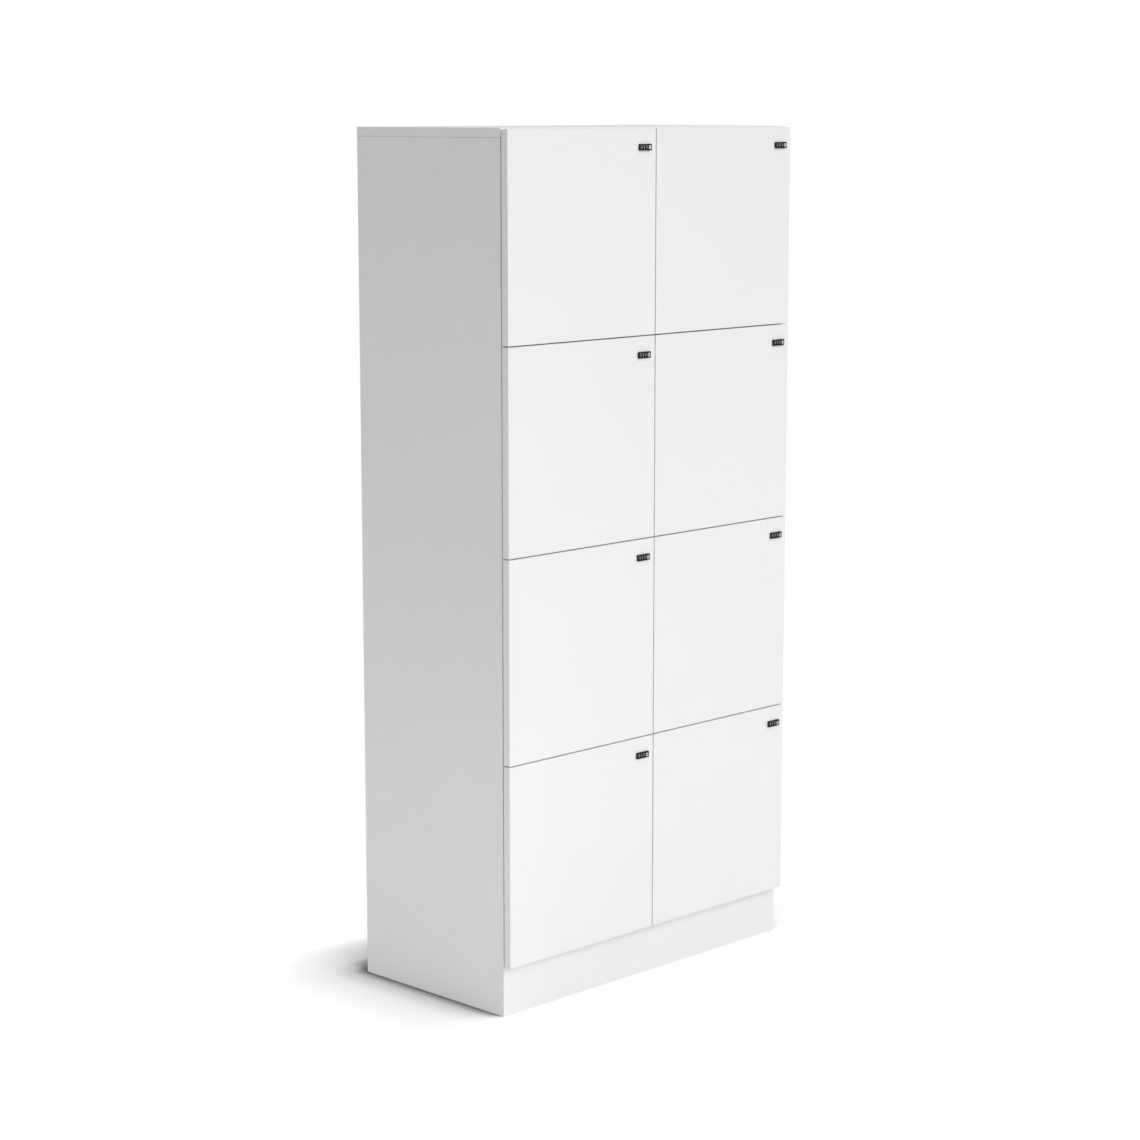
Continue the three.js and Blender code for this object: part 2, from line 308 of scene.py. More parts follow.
class Shader(Nodes):
    """One Principled material."""

    def __init__(self, name):
        self.material = bpy.data.materials.new(name)
        self.material.use_nodes = True
        super().__init__(self.material.node_tree)
        self.surface = self.tree.nodes["Principled BSDF"]

    def noise(self, scale, detail=2.0, stretch=(1, 1, 1)):
        place = self.tree.nodes.new("ShaderNodeTexCoord").outputs["Object"]
        stretched = self.node("ShaderNodeMapping", Vector=place, Scale=stretch).outputs[0]
        made = self.node("ShaderNodeTexNoise", Vector=stretched, Scale=scale, Detail=detail)
        return made.outputs["Fac"]

    def mix(self, factor, first, second):
        made = self.tree.nodes.new("ShaderNodeMix")
        made.data_type = "RGBA"
        self.feed(made.inputs["Factor"], factor)
        for name, color in (("A", first), ("B", second)):
            linked = isinstance(color, bpy.types.NodeSocket)
            self.feed(made.inputs[name], color if linked else (*color, 1))
        return made.outputs["Result"]

    def bump(self, height, distance, strength, below=None):
        made = self.node("ShaderNodeBump", Height=height, Distance=distance, Strength=strength)
        if below is not None:
            self.feed(made.inputs["Normal"], below)
        self.feed(self.surface.inputs["Normal"], made.outputs[0])
        return made.outputs[0]

    def finish(self, color, roughness, metallic=0.0, specular=0.5):
        self.feed(self.surface.inputs["Base Color"], color)
        self.feed(self.surface.inputs["Roughness"], roughness)
        self.feed(self.surface.inputs["Metallic"], metallic)
        self.feed(self.surface.inputs["Specular IOR Level"], specular)
        return self.material


def shade(color, factor):
    return tuple(channel * factor for channel in color)


def melamine(name, seam, joint_height=None):
    """White laminate: a fine pearl texture, faint clouding, a hairline seam along banded edges and,
    at joint_height, the dark line of a joint."""
    shader = Shader(name)
    clouds = shader.remap(shader.noise(scale=2.5, detail=3), 0.3, 0.7)
    tint = shader.mix(clouds, shade(BOARD_WHITE, BOARD_CLOUD), BOARD_WHITE)
    line = seam(shader)
    tint = shader.mix(line, tint, shade(BOARD_WHITE, BOARD_SEAM))
    if joint_height is not None:
        height = shader.axes("Object")["Z"]
        gap = shader.math("COMPARE", height, joint_height, JOINT_GAP / 2)
        tint = shader.mix(gap, tint, shade(BOARD_WHITE, BOARD_JOINT))
    wiped = shader.noise(scale=9, detail=4, stretch=(1, 1, 0.35))
    gloss = shader.remap(wiped, 0.3, 0.7, 0.46, 0.56)
    pearl = shader.bump(shader.noise(scale=900), distance=0.02 * MM, strength=0.5)
    raised = shader.math("SUBTRACT", 1.0, line)
    shader.bump(raised, distance=0.05 * MM, strength=0.6, below=pearl)
    return shader.finish(tint, gloss, specular=0.35)


def seam_line(shader, distance):
    """1 where distance is within half a seam of the band's thickness, else 0."""
    offset = shader.math("ABSOLUTE", shader.math("SUBTRACT", distance, BAND_THICKNESS))
    return shader.math("LESS_THAN", offset, BAND_SEAM / 2)


def front_band_seam(front_y):
    """The seam behind the band on the front edge of a board."""

    def seam(shader):
        return seam_line(shader, shader.math("SUBTRACT", shader.axes("Object")["Y"], front_y))

    return seam


def door_band_seam(width, height):
    """The seam all round a door's two faces, from its place in its own box."""

    def seam(shader):
        axes = shader.axes("Generated")
        ends = []
        for socket, size in ((axes["X"], width), (axes["Z"], height)):
            share = shader.math("MINIMUM", socket, shader.math("SUBTRACT", 1.0, socket))
            ends.append(shader.math("MULTIPLY", share, size))
        return seam_line(shader, shader.math("MINIMUM", *ends))

    return seam


def fibreboard():
    shader = Shader("white_fibreboard")
    clouds = shader.remap(shader.noise(scale=4, detail=4), 0.3, 0.7)
    color = shader.mix(clouds, FIBREBOARD_SHADED, FIBREBOARD_PALE)
    shader.bump(shader.noise(scale=300, detail=4), distance=0.06 * MM, strength=0.5)
    return shader.finish(color, roughness=0.6)


def black_lacquer():
    shader = Shader("black_lacquer")
    rubbed = shader.noise(scale=120, detail=3)
    color = shader.mix(shader.remap(rubbed, 0.35, 0.75), LACQUER_BLACK, LACQUER_RUBBED)
    gloss = shader.remap(rubbed, 0.3, 0.7, 0.36, 0.5)
    shader.bump(shader.noise(scale=1500, detail=3), distance=0.02 * MM, strength=0.6)
    return shader.finish(color, gloss, specular=0.16)


def dial_plastic():
    shader = Shader("dial_plastic")
    wear = shader.remap(shader.noise(scale=350, detail=3), 0.4, 0.7)
    color = shader.mix(wear, DIAL_BLACK, DIAL_WORN)
    shader.bump(shader.noise(scale=2500), distance=0.01 * MM, strength=0.6)
    return shader.finish(color, roughness=0.5, specular=0.4)


def digit_paint():
    shader = Shader("digit_paint")
    worn = shader.noise(scale=900, detail=3)
    color = shader.mix(shader.remap(worn, 0.3, 0.75), PRINT_PALE, PRINT_WORN)
    shader.bump(worn, distance=0.01 * MM, strength=0.5)
    return shader.finish(color, roughness=0.55)


def chrome(slot_floor):
    """Bright plating with fine turning marks round the part's own Y axis, and painted shade in the slot
    across the knob's face: near-black, matt and not metallic down to its floor, standing in for the shade inside
    it."""
    shader = Shader("bright_chrome")
    axes = shader.axes("Object")
    # Painted shade: the slot across the knob's face is coloured near-black, matt and not metallic, standing in for
    # the shade inside it.
    height = shader.math("ABSOLUTE", axes["Z"])
    level = shader.math("LESS_THAN", height, KNOB_SLOT_WIDTH / 2 + SLOT_SHADE_MARGIN)
    front = shader.math("LESS_THAN", axes["Y"], slot_floor + SLOT_SHADE_MARGIN)
    slot_shade = shader.math("MULTIPLY", level, front)
    plating = shader.mix(shader.noise(scale=90), CHROME_DULL, CHROME_BRIGHT)
    color = shader.mix(slot_shade, plating, SLOT_SHADE_COLOUR)
    squares = [shader.math("POWER", axes[axis], 2.0) for axis in ("X", "Z")]
    radius = shader.math("SQRT", shader.math("ADD", *squares))
    rings = shader.math("SINE", shader.math("MULTIPLY", radius, 2 * math.pi / TURNING_PITCH))
    shader.bump(rings, distance=0.002 * MM, strength=0.5)
    smudged = shader.remap(shader.noise(scale=500, detail=3), 0.3, 0.7, 0.3, 0.42)
    matt = shader.math("MULTIPLY", slot_shade, 0.6)
    roughness = shader.math("MAXIMUM", smudged, matt)
    metallic = shader.math("SUBTRACT", 1.0, slot_shade)
    return shader.finish(color, roughness, metallic)


def fitting_plastic():
    shader = Shader("fitting_plastic")
    clouds = shader.remap(shader.noise(scale=180, detail=3), 0.35, 0.7)
    color = shader.mix(clouds, PLASTIC_WHITE, PLASTIC_SHADED)
    shader.bump(shader.noise(scale=2200), distance=0.01 * MM, strength=0.5)
    return shader.finish(color, roughness=0.45)


def nickel_steel():
    shader = Shader("nickel_steel")
    brushed = shader.noise(scale=700, stretch=(1, 0.06, 1))
    stains = shader.remap(shader.noise(scale=60, detail=3), 0.35, 0.7)
    color = shader.mix(stains, NICKEL_BRIGHT, NICKEL_STAINED)
    shader.bump(brushed, distance=0.01 * MM, strength=0.5)
    return shader.finish(color, shader.remap(brushed, 0.3, 0.7, 0.24, 0.4), metallic=1.0)


# ---------------------------------------------------------------- places


def joint_place(name):
    """A point on a joint's axis, from the frame."""
    return Vector(next(joint["pos_m"] for joint in frame["joints"] if joint["name"] == name))


def at(x, y, z):
    return Matrix.Translation((x, y, z))


# Puts a plate's X on X, its Y on Z and its thickness on Y, towards the back.
FACING_BACK = Matrix(((1, 0, 0, 0), (0, 0, 1, 0), (0, 1, 0, 0), (0, 0, 0, 1)))

# Puts a plate's X on Y, its Y on Z and its thickness on X, towards the right.
FACING_RIGHT = Matrix(((0, 0, 1, 0), (1, 0, 0, 0), (0, 1, 0, 0), (0, 0, 0, 1)))


# ---------------------------------------------------------------- mesh helpers


def circle(radius, count=ROUND_SIDES, x=0.0, y=0.0, turn=0.0):
    angles = [turn + 2 * math.pi * i / count for i in range(count)]
    return [(x + radius * math.cos(a), y + radius * math.sin(a)) for a in angles]


def hull(*discs):
    """The outline of a band stretched round some discs (x, y, radius)."""
    points = [point for x, y, radius in discs for point in circle(radius, x=x, y=y)]
    return [points[i] for i in convex_hull_2d(points)]


def rectangle(low_x, low_y, high_x, high_y):
    return [(low_x, low_y), (high_x, low_y), (high_x, high_y), (low_x, high_y)]


def add_plate(bm, outline, holes, low, high, place=Matrix.Identity(4)):
    """A flat plate drawn in its own X and Y, with holes, from its Z of low to high, put at place."""
    part = bmesh.new()
    for loop in (outline, *holes):
        verts = [part.verts.new((x, y, low)) for x, y in loop]
        for i, vert in enumerate(verts):
            part.edges.new((vert, verts[(i + 1) % len(verts)]))
    bmesh.ops.triangle_fill(part, use_beauty=True, use_dissolve=False, edges=part.edges[:])
    raised = bmesh.ops.extrude_face_region(part, geom=part.faces[:])["geom"]
    top = [element for element in raised if isinstance(element, bmesh.types.BMVert)]
    bmesh.ops.translate(part, vec=(0, 0, high - low), verts=top)
    merge_into(bm, part, place)


def add_turned(bm, profile, place=Matrix.Identity(4), segments=ROUND_SIDES, knurl=0.0):
    """A profile of (radius, z), turned round the part's own Z axis, with every second point of its
    widest rings sunk by knurl."""
    part = bmesh.new()
    rings = []
    widest = max(radius for radius, z in profile)
    for radius, z in profile:
        if radius == 0:
            rings.append([part.verts.new((0, 0, z))])
        else:
            points = circle(radius, segments)
            if radius == widest:
                points[::2] = circle(radius - knurl, segments // 2)
            rings.append([part.verts.new((x, y, z)) for x, y in points])
    for first, second in zip(rings, rings[1:]):
        for i in range(segments):
            j = (i + 1) % segments
            corners = [first[i % len(first)], first[j % len(first)], second[j % len(second)]]
            corners.append(second[i % len(second)])
            part.faces.new(list(dict.fromkeys(corners)))
    merge_into(bm, part, place)


def add_screw(bm, place, radius, height):
    """A screw's head with a cross recess; its own Z points out of the surface."""
    arm = RECESS_REACH * radius
    half = RECESS_HALF_WIDTH * radius
    quarter = [(arm, -half), (arm, half), (half, half)]
    turns = [(1, 0), (0, 1), (-1, 0), (0, -1)]
    cross = [(x * c - y * s, x * s + y * c) for c, s in turns for x, y in quarter]
    add_plate(bm, circle(radius, SCREW_SIDES), [cross], 0, height, place)
    base = RECESS_FLOOR_RADIUS * radius
    floor = RECESS_FLOOR_HEIGHT * height
    add_turned(bm, [(0, 0), (base, 0), (base, floor), (0, floor)], place, SCREW_SIDES)


def merge_into(bm, part, place):
    bmesh.ops.recalc_face_normals(part, faces=part.faces[:])
    part.transform(place)
    if place.determinant() < 0:
        bmesh.ops.reverse_faces(part, faces=part.faces[:])
    mesh = bpy.data.meshes.new("part")
    part.to_mesh(mesh)
    part.free()
    bm.from_mesh(mesh)
    bpy.data.meshes.remove(mesh)


def make_piece(name, bm, material, bevel=0.0, location=(0, 0, 0)):
    mesh = bpy.data.meshes.new(name)
    bm.to_mesh(mesh)
    bm.free()
    mesh.materials.append(material)
    piece = bpy.data.objects.new(name, mesh)
    bpy.context.scene.collection.objects.link(piece)
    piece.location = location
    finish_edges(piece, bevel)
    return piece


def finish_edges(piece, bevel):
    """Smooth shading, with rounded edges, or sharp ones where bevel is 0."""
    for polygon in piece.data.polygons:
        polygon.use_smooth = True
    if bevel:
        modifier = piece.modifiers.new("rounded_edges", "BEVEL")
        modifier.width = bevel
        modifier.segments = BEVEL_SEGMENTS
        modifier.limit_method = "ANGLE"
        modifier.angle_limit = BEVEL_ANGLE
        modifier.harden_normals = True
        modifier.use_clamp_overlap = True
    else:
        piece.data.set_sharp_from_angle(angle=SMOOTH_ANGLE)


def attach(piece, body):
    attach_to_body(piece, body)


# ---------------------------------------------------------------- camera, light and floor


def make_camera():
    low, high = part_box("top_panel")
    middle = (low + high) / 2
    camera = bpy.data.objects.new("camera", bpy.data.cameras.new("camera"))
    bpy.context.scene.collection.objects.link(camera)
    bpy.context.scene.camera = camera
    camera.location = Vector((middle.x, middle.y, 0)) + CAMERA_OFFSET
    camera.rotation_euler = (math.pi / 2 - CAMERA_PITCH, 0, -CAMERA_YAW)
    camera.data.lens = CAMERA_LENS_MM
    camera.data.sensor_width = CAMERA_SENSOR_MM
    camera.data.clip_start = CAMERA_NEAR
    camera.data.clip_end = CAMERA_FAR


def make_sky():
    """A soft light that grows from the horizon upwards. The picture sees it as a white background."""
    world = bpy.data.worlds.new("studio")
    bpy.context.scene.world = world
    world.use_nodes = True
    sky = Nodes(world.node_tree)
    glow = sky.remap(sky.axes("Generated")["Z"], 0.0, 1.0, SKY_LOW, SKY_HIGH)
    background = world.node_tree.nodes["Background"]
    background.inputs["Color"].default_value = (1, 1, 1, 1)
    sky.feed(background.inputs["Strength"], sky.remap(sky.seen_by_camera(), 0.0, 1.0, glow, 1.0))


def make_light(name, energy, towards, spread):
    light = bpy.data.lights.new(name, "SUN")
    light.energy = energy
    light.angle = spread
    lamp = bpy.data.objects.new(name, light)
    bpy.context.scene.collection.objects.link(lamp)
    lamp.rotation_euler = towards.to_track_quat("Z", "Y").to_euler()


def floor_shadow(floor):
    """The floor's tone in the picture: clear, less the occlusion that each layer gathers."""
    lean = floor.node("ShaderNodeCombineXYZ", **dict(zip("XYZ", SHADOW_LEAN))).outputs[0]
    tone = SHADOW_CLEAR - sum(strength for reach, strength in SHADOW_LAYERS)
    for reach, strength in SHADOW_LAYERS:
        occlusion = floor.node("ShaderNodeAmbientOcclusion", Distance=reach, Normal=lean)
        occlusion.samples = SHADOW_SAMPLES
        tone = floor.math("MULTIPLY_ADD", occlusion.outputs["AO"], strength, tone)
    return floor.math("MAXIMUM", tone, SHADOW_DARKEST)


def make_floor():
    """A pale round floor. The picture sees it burnt out to white, apart from a contact shadow beside
    and behind the object, whose occlusion is gathered round a direction that leans to the front."""
    bm = bmesh.new()
    bmesh.ops.create_circle(bm, cap_ends=True, segments=FLOOR_SIDES, radius=FLOOR_RADIUS)
    material = bpy.data.materials.new("studio_floor")
    material.use_nodes = True
    nodes = material.node_tree.nodes
    nodes.remove(nodes["Principled BSDF"])
    floor = Nodes(material.node_tree)
    seen = floor.node("ShaderNodeEmission", Color=floor_shadow(floor)).outputs[0]
    bounce = floor.remap(floor.axes("Object")["X"], *BOUNCE_EDGE, BOUNCE_LEFT, BOUNCE_RIGHT)
    lit = floor.node("ShaderNodeBsdfDiffuse", Color=bounce).outputs[0]
    mix = nodes.new("ShaderNodeMixShader")
    for socket, value in zip(mix.inputs, (floor.seen_by_camera(), lit, seen)):
        floor.feed(socket, value)
    floor.feed(nodes["Material Output"].inputs["Surface"], mix.outputs[0])
    make_piece("studio_floor", bm, material)


def studio():
    bpy.context.scene.view_settings.view_transform = "Standard"
    make_camera()
    make_sky()
    make_light("key_light", KEY_LIGHT, KEY_TOWARDS, KEY_SPREAD)
    make_light("back_light", BACK_LIGHT, BACK_TOWARDS, BACK_SPREAD)
    make_floor()


# ---------------------------------------------------------------- the frame's own nodes


def dress_frame_nodes(materials):
    low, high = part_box("door_left_1")
    front_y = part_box("side_panel_left")[0].y
    joint_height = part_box("top_panel")[0].z
    board = melamine("white_melamine", front_band_seam(front_y), joint_height)
    door = melamine("white_melamine_door", door_band_seam(high.x - low.x, high.z - low.z))
    looks = {name: (board, BOARD_BEVEL) for name in CARCASS_BOARDS}
    looks["back_panel"] = (fibreboard(), BOARD_BEVEL)
    for label in LABELS:
        looks[f"door_{label}"] = (door, BOARD_BEVEL)
        looks[f"lock_case_{label}"] = (materials["lacquer"], CASE_BEVEL)
        looks[f"lock_knob_{label}"] = (materials["chrome"], 0)
        for number in range(1, DIALS + 1):
            looks[f"lock_dial_{label}_{number}"] = (materials["dial"], DIAL_BEVEL)
    for name, (material, bevel) in looks.items():
        node = frame["nodes"][name]
        node.data.materials.clear()
        node.data.materials.append(material)
        finish_edges(node, bevel)


# ---------------------------------------------------------------- hinges


def hinge_places(label):
    """The points on the door's turning axis that are level with its two cups."""
    low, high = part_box(f"door_{label}")
    pivot = joint_place(f"door_{label}_hinge")
    return [at(pivot.x, pivot.y, z) for z in (low.z + CUP_FROM_END, high.z - CUP_FROM_END)]


def add_pin(bm, x, y, half_length, place):
    tip = PIN_RADIUS - PIN_CHAMFER
    half = [(PIN_RADIUS, half_length - PIN_CHAMFER), (tip, half_length), (0, half_length)]
    profile = [(radius, -z) for radius, z in reversed(half)] + half
    add_turned(bm, profile, place @ at(x, y, 0), PIN_SIDES)


def add_cup(bm, place, back):
    """The cup in the door's bore, its flange on the door's back, and the two pins of its links."""
    bottom = back - CUP_DEPTH
    inner = CUP_RADIUS - CUP_WALL
    rim = back + FLANGE_THICKNESS
    lip = rim - CUP_BELOW_FLANGE
    profile = [
        (0, bottom),
        (CUP_RADIUS - CUP_CORNER, bottom),
        (CUP_RADIUS, bottom + CUP_CORNER),
        (CUP_RADIUS, lip),
        (inner, lip),
        (inner, bottom + CUP_CORNER + CUP_WALL),
        (inner - CUP_INNER_CORNER, bottom + CUP_WALL),
        (0, bottom + CUP_WALL),
    ]
    centre = place @ at(CUP_X, 0, 0) @ FACING_BACK
    add_turned(bm, profile, centre, CUP_SIDES)
    ears = [(EAR_X, EAR_Z, EAR_RADIUS), (EAR_X, -EAR_Z, EAR_RADIUS)]
    outline = hull((0, 0, FLANGE_RADIUS), *ears)
    add_plate(bm, outline, [circle(inner + FLANGE_PLAY, CUP_SIDES)], back, rim, centre)
    for x, z, _ in ears:
        add_screw(bm, centre @ at(x, z, rim), radius=3.8 * MM, height=0.5 * MM)
    cheek = hull((*INNER_CUP_PIN, CHEEK_RADIUS), (*OUTER_CUP_PIN, CHEEK_RADIUS))
    for low in (-CHEEK_Z - CHEEK_THICKNESS, CHEEK_Z):
        add_plate(bm, cheek, [], low, low + CHEEK_THICKNESS, place)
    for pin in (INNER_CUP_PIN, OUTER_CUP_PIN):
        add_pin(bm, *pin, CHEEK_Z + CHEEK_THICKNESS + CHEEK_PIN_PROUD, place)


def add_mounting_plate(bm, place, face):
    """A winged plate and its saddle on the board's face, with two screws."""
    middle = place @ at(face, PLATE_Y, 0) @ FACING_RIGHT
    wings = hull((0, WING_Z, WING_RADIUS), (0, -WING_Z, WING_RADIUS))
    add_plate(bm, wings, [], 0, WING_THICKNESS, middle)
    front, back = TONGUE_ENDS
    tongue = rectangle(front, -TONGUE_WIDTH / 2, back, TONGUE_WIDTH / 2)
    add_plate(bm, tongue, [], 0, TONGUE_THICKNESS, middle)
    front, back = SADDLE_ENDS
    saddle = rectangle(front, -SADDLE_WIDTH / 2, back, SADDLE_WIDTH / 2)
    add_plate(bm, saddle, [], WING_THICKNESS, ARM_HEIGHT - ARM_WALL, middle)
    for z in (-WING_Z, WING_Z):
        add_screw(bm, middle @ at(0, z, WING_THICKNESS), radius=3.6 * MM, height=1.6 * MM)


def add_arm(bm, place, face):
    """The arm, a U channel from the saddle to the links' pins, cranked to reach over the cup."""
    top = face + ARM_HEIGHT
    pin_x, pin_y = OUTER_ARM_PIN
    tip = pin_x + ARM_TIP[0]
    path = [
        (tip, pin_y + ARM_TIP[1]),
        (tip, pin_y + ARM_CRANK[0]),
        (top, pin_y + ARM_CRANK[1]),
        (top, PLATE_Y + ARM_TAIL),
    ]
    web = [(x - ARM_WALL, y) for x, y in path]
    deep = [(x - ARM_DEPTH, y) for x, y in path]
    half = ARM_WIDTH / 2
    add_plate(bm, path + web[::-1], [], -half, half, place)
    for low in (-half, half - ARM_WALL):
        add_plate(bm, web + deep[::-1], [], low, low + ARM_WALL, place)
    for pin in (INNER_ARM_PIN, OUTER_ARM_PIN):
        add_pin(bm, *pin, half + ARM_PIN_PROUD, place)
    for y, radius in ARM_SCREWS:
        add_screw(bm, place @ at(top, PLATE_Y + y, 0) @ FACING_RIGHT, radius, height=1.1 * MM)


def add_link(bm, start, end, width, place):
    """A flat bar from one pin to another, built in short lengths."""
    start, end = Vector(start), Vector(end)
    along = (end - start).normalized()
    side = Vector((-along.y, along.x)) * LINK_THICKNESS / 2
    half = width / 2
    part = bmesh.new()
    rings = []
    for i in range(LINK_LENGTHS + 1):
        middle = start.lerp(end, i / LINK_LENGTHS)
        near, far = middle + side, middle - side
        corners = [(*near, -half), (*near, half), (*far, half), (*far, -half)]
        rings.append([part.verts.new(corner) for corner in corners])
    for first, second in zip(rings, rings[1:]):
        for i in range(len(first)):
            part.faces.new((first[i - 1], first[i], second[i], second[i - 1]))
    part.faces.new(rings[0])
    part.faces.new(rings[-1])
    merge_into(bm, part, place)
    bore = PIN_RADIUS + EYE_PLAY
    eye = rectangle(bore, -half, EYE_RADIUS, half)
    for pin in (start, end):
        add_turned(bm, eye + eye[:1], place @ at(pin.x, pin.y, 0), PIN_SIDES)


def make_links(name, label, start, end, width, material):
    """The links between one pair of pins at both hinges of a door, from arm to cup."""
    bm = bmesh.new()
    for place in hinge_places(label):
        add_link(bm, start, end, width, place)
    piece = make_piece(f"{name}_{label}", bm, material)
    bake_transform(piece)


def make_hinges(label, steel):
    pivot = joint_place(f"door_{label}_hinge")
    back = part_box(f"door_{label}")[1].y - pivot.y
    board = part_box("side_panel_left" if label.startswith("left") else "centre_partition")
    face = board[1].x - pivot.x
    makers = {
        "hinge_cups": (f"door_{label}", add_cup, back),
        "hinge_plates": ("carcass", add_mounting_plate, face),
        "hinge_arms": ("carcass", add_arm, face),
    }
    for name, (body, add, surface) in makers.items():
        bm = bmesh.new()
        for place in hinge_places(label):
            add(bm, place, surface)
        attach(make_piece(f"{name}_{label}", bm, steel, HINGE_BEVEL), body)
    make_links("hinge_outer_links", label, OUTER_ARM_PIN, OUTER_CUP_PIN, OUTER_LINK_WIDTH, steel)
    make_links("hinge_inner_links", label, INNER_ARM_PIN, INNER_CUP_PIN, INNER_LINK_WIDTH, steel)


# ---------------------------------------------------------------- locks


def knob_slot_floor():
    """Where the slot's floor lies, from the knob's place on its turning axis."""
    knob = f"lock_knob_{LABELS[0]}"
    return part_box(knob)[0].y - joint_place(f"{knob}_turn").y + KNOB_SLOT_DEPTH


def knob_head(front, radius):
    """The knob's head: a knurled disc with chamfered edges and a slot across its face."""
    bm = bmesh.new()
    back = front + KNOB_THICKNESS
    profile = [
        (0, front),
        (radius - KNOB_CHAMFER, front),
        (radius, front + KNOB_CHAMFER),
        (radius, back - KNOB_CHAMFER),
        (radius - KNOB_CHAMFER, back),
        (0, back),
    ]
    add_turned(bm, profile, FACING_BACK, KNOB_KNURLS * 2, KNOB_KNURL_DEPTH)
    slot = bmesh.new()
    past = radius + KNOB_CUT_PAST
    outline = rectangle(-past, -KNOB_SLOT_WIDTH / 2, past, KNOB_SLOT_WIDTH / 2)
    add_plate(slot, outline, [], front - KNOB_CUT_PAST, front + KNOB_SLOT_DEPTH, FACING_BACK)
    return cut(bm, slot)


def cut(bm, cutter):
    """The first mesh without the room that the second one fills; both are used up."""
    objects = []
    for source in (bm, cutter):
        mesh = bpy.data.meshes.new("cut")
        source.to_mesh(mesh)
        source.free()
        objects.append(bpy.data.objects.new("cut", mesh))
        bpy.context.scene.collection.objects.link(objects[-1])
    modifier = objects[0].modifiers.new("cut", "BOOLEAN")
    modifier.operation = "DIFFERENCE"
    modifier.solver = "EXACT"
    modifier.object = objects[1]
    result = bmesh.new()
    result.from_object(objects[0], bpy.context.evaluated_depsgraph_get())
    for used in objects:
        bpy.data.meshes.remove(used.data)
    return result


def make_knob(label, plating):
    """The knob with its spindle through the door, the cam behind it, a washer and a nut."""
    node = f"lock_knob_{label}"
    low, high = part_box(node)
    axis = joint_place(f"{node}_turn")
    front = low.y - axis.y
    end = high.y - axis.y
    length = axis.z - low.z
    bm = knob_head(front, (high.x - low.x) / 2)
    start = front + KNOB_THICKNESS - SPINDLE_IN_KNOB
    spindle = rectangle(0, start, SPINDLE_RADIUS, end - SPINDLE_SHORT)
    add_turned(bm, spindle, FACING_BACK, SCREW_SIDES)
    half = CAM_WIDTH / 2
    cam = hull((0, 0, half), (0, -length + half, half - CAM_TAPER))
    washer = end - NUT_THICKNESS
    nut = washer + WASHER_THICKNESS
    add_plate(bm, cam, [], washer - CAM_THICKNESS, washer, FACING_BACK)
    add_plate(bm, circle(WASHER_RADIUS), [], washer, nut, FACING_BACK)
    add_plate(bm, circle(NUT_RADIUS, HEXAGON), [], nut, end, FACING_BACK)
    knob = make_piece(f"lock_turn_{label}", bm, plating, THIN_BEVEL, axis)
    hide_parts(node)
    attach(knob, node)


def digit_outline(digit):
    """One thin digit with its middle at the origin."""
    text = bpy.data.curves.new("digit", "FONT")
    text.body = str(digit)
    text.size = DIGIT_SIZE
    text.align_x = "CENTER"
    text.align_y = "CENTER"
    text.offset = DIGIT_BOLDNESS
    text.extrude = DIGIT_RAISE
    text.resolution_u = DIGIT_CURVE_STEPS
    holder = bpy.data.objects.new("digit", text)
    bpy.context.scene.collection.objects.link(holder)
    part = bmesh.new()
    part.from_mesh(holder.to_mesh())
    holder.to_mesh_clear()
    bpy.data.objects.remove(holder)
    bpy.data.curves.remove(text)
    across = [vert.co.x for vert in part.verts]
    up = [vert.co.y for vert in part.verts]
    middle = Vector((min(across) + max(across), min(up) + max(up), 0)) / 2
    bmesh.ops.translate(part, vec=-middle, verts=part.verts)
    return part


def digit_ring(paint):
    """Ten thin raised digits on the flats of a dial, whose own X is the dial's axis."""
    low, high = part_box(f"lock_dial_{LABELS[0]}_1")
    flat = (high.y - low.y) / 2
    upright = Matrix.Rotation(math.radians(90), 4, "X")
    bm = bmesh.new()
    for digit in range(DIGITS):
        turn = Matrix.Rotation(2 * math.pi * digit / DIGITS, 4, "X")
        merge_into(bm, digit_outline(digit), turn @ at(0, -flat, 0) @ upright)
    mesh = bpy.data.meshes.new("digits")
    bm.to_mesh(mesh)
    bm.free()
    mesh.materials.append(paint)
    return mesh


def make_digits(label, ring):
    for number in range(1, DIALS + 1):
        dial = f"lock_dial_{label}_{number}"
        piece = bpy.data.objects.new(f"lock_digits_{label}_{number}", ring)
        bpy.context.scene.collection.objects.link(piece)
        piece.location = joint_place(f"{dial}_spin")
        attach(piece, dial)


def lock_place(label, y):
    """The middle of the lock's case, as seen from the front, at a depth of y."""
    low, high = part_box(f"lock_case_{label}")
    return Vector(((low.x + high.x) / 2, y, (low.z + high.z) / 2))


def make_lock_cover(label, materials):
    """The cover over the lock's open back, its screws, and the nut on the barrel."""
    place = lock_place(label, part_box(f"door_{label}")[1].y)
    knob = joint_place(f"lock_knob_{label}_turn")
    barrel = (knob.x - place.x, knob.z - place.z)
    x = COVER_WIDTH / 2 - COVER_CORNER
    z = COVER_HEIGHT / 2 - COVER_CORNER
    outline = hull(*((*corner, COVER_CORNER) for corner in rectangle(-x, -z, x, z)))
    hole = circle(BARREL_RADIUS + COVER_PLAY, ROUND_SIDES, *barrel)
    bm = bmesh.new()
    add_plate(bm, outline, [hole], 0, COVER_THICKNESS, FACING_BACK)
    cover = make_piece(f"lock_cover_{label}", bm, materials["lacquer"], COVER_BEVEL, place)
    attach(cover, f"door_{label}")
    bm = bmesh.new()
    for screw_x in (-COVER_SCREW_X, COVER_SCREW_X):
        where = at(screw_x, COVER_THICKNESS, 0) @ FACING_BACK
        add_screw(bm, where, radius=1.9 * MM, height=0.8 * MM)
    nut = circle(RING_NUT_RADIUS, HEXAGON, *barrel, turn=RING_NUT_TURN)
    bore = circle(BARREL_RADIUS + RING_NUT_PLAY, ROUND_SIDES, *barrel)
    add_plate(bm, nut, [bore], COVER_THICKNESS, COVER_THICKNESS + RING_NUT_THICKNESS, FACING_BACK)
    fixings = make_piece(f"lock_fixings_{label}", bm, materials["steel"], FIXINGS_BEVEL, place)
    attach(fixings, f"door_{label}")


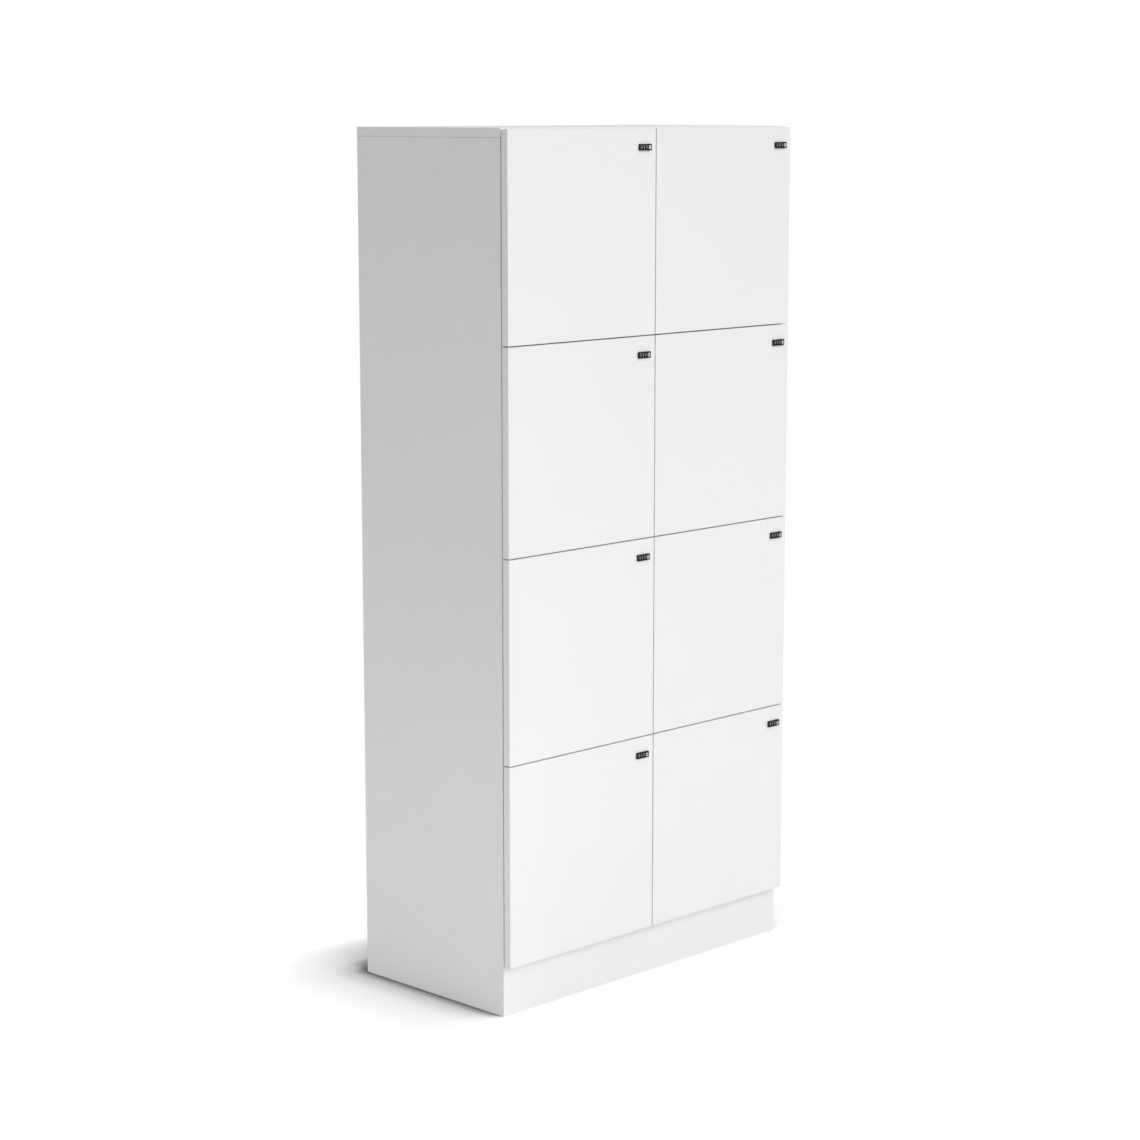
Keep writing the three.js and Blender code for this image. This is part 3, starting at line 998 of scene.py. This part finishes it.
def make_index_mark(label, paint):
    """A small printed arrow beside the dials, which says where the code is read."""
    place = lock_place(label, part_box(f"lock_case_{label}")[0].y)
    x = INDEX_LENGTH / 2
    z = INDEX_HEIGHT / 2
    arrow = [(-x, -z), (x, 0), (-x, z)]
    bm = bmesh.new()
    add_plate(bm, arrow, [], -INDEX_RAISE, INDEX_SUNK, at(INDEX_X, 0, 0) @ FACING_BACK)
    attach(make_piece(f"lock_index_{label}", bm, paint, location=place), f"door_{label}")


def make_keeper(label, steel):
    """A thin plate round the slot that the cam turns into, with a screw above and one below."""
    board = "centre_partition" if label.startswith("left") else "side_panel_right"
    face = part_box(board)[0].x - KEEPER_THICKNESS
    openings = {opening["name"]: opening["box_m"] for opening in frame["record"]["physics"]["openings"]}
    (_, front, bottom), (_, back, top) = openings[f"keeper_slot_{label}"]
    slot = rectangle(front, bottom, back, top)
    ends = 2 * KEEPER_RIM
    outline = rectangle(front - KEEPER_RIM, bottom - ends, back + KEEPER_RIM, top + ends)
    bm = bmesh.new()
    add_plate(bm, outline, [slot], face, face + KEEPER_THICKNESS, FACING_RIGHT)
    facing_left = FACING_RIGHT @ Matrix.Scale(-1, 4, (0, 0, 1))
    for z in (bottom - KEEPER_RIM, top + KEEPER_RIM):
        where = at(face, (front + back) / 2, z) @ facing_left
        add_screw(bm, where, radius=1.7 * MM, height=0.2 * MM)
    attach(make_piece(f"keeper_plate_{label}", bm, steel, THIN_BEVEL), "carcass")


# ---------------------------------------------------------------- small fittings


def make_buffers(label, plastic):
    """Two soft buffers in the door's corners on the lock's side."""
    low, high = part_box(f"door_{label}")
    profile = [(radius * BUFFER_RADIUS, z * BUFFER_THICKNESS) for radius, z in BUFFER_PROFILE]
    bm = bmesh.new()
    for z in (low.z + BUFFER_FROM_END, high.z - BUFFER_FROM_END):
        add_turned(bm, profile, at(high.x - BUFFER_FROM_EDGE, high.y, z) @ FACING_BACK)
    attach(make_piece(f"door_buffers_{label}", bm, plastic), f"door_{label}")


def make_cover_caps(board, plastic):
    """Caps over the cam fittings in a board's underside, at both ends of each compartment."""
    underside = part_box(board)[0].z
    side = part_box("side_panel_left")[1].x
    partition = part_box("centre_partition")[0].x
    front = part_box("side_panel_left")[0].y
    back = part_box("back_panel")[0].y
    profile = [(radius * CAP_RADIUS, z * CAP_THICKNESS) for radius, z in CAP_PROFILE]
    bm = bmesh.new()
    for x in (side + CAP_INSET, partition - CAP_INSET):
        for mirrored in (x, -x):
            for y in (front + 2 * CAP_INSET, back - 2 * CAP_INSET):
                add_turned(bm, profile, at(mirrored, y, underside), CAP_SIDES)
    attach(make_piece(f"cover_caps_{board}", bm, plastic), "carcass")


def make_back_screws(steel):
    """Rows of screws through the back panel into the partition, the shelves and the bottom panel."""
    spots = []
    for board in ("bottom_panel", *SHELVES):
        low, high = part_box(board)
        spots += [(side * x, (low.z + high.z) / 2) for side in (-1, 1) for x in BACK_SCREW_X]
    levels = [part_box(shelf)[1].z for shelf in SHELVES]
    spacing = levels[1] - levels[0]
    for start in (levels[0] - spacing, *levels):
        spots += [(0, start + share * spacing) for share in BACK_SCREW_SHARES]
    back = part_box("back_panel")[1].y
    bm = bmesh.new()
    for x, z in spots:
        add_screw(bm, at(x, back, z) @ FACING_BACK, radius=3.4 * MM, height=1.5 * MM)
    attach(make_piece("back_panel_screws", bm, steel, SCREW_BEVEL), "carcass")


materials = {
    "lacquer": black_lacquer(),
    "chrome": chrome(knob_slot_floor()),
    "dial": dial_plastic(),
    "paint": digit_paint(),
    "steel": nickel_steel(),
    "plastic": fitting_plastic(),
}
studio()
dress_frame_nodes(materials)
digits = digit_ring(materials["paint"])
for label in LABELS:
    make_hinges(label, materials["steel"])
    make_knob(label, materials["chrome"])
    make_digits(label, digits)
    make_lock_cover(label, materials)
    make_index_mark(label, materials["paint"])
    make_keeper(label, materials["steel"])
    make_buffers(label, materials["plastic"])
for board in (*SHELVES, "top_panel"):
    make_cover_caps(board, materials["plastic"])
make_back_screws(materials["steel"])
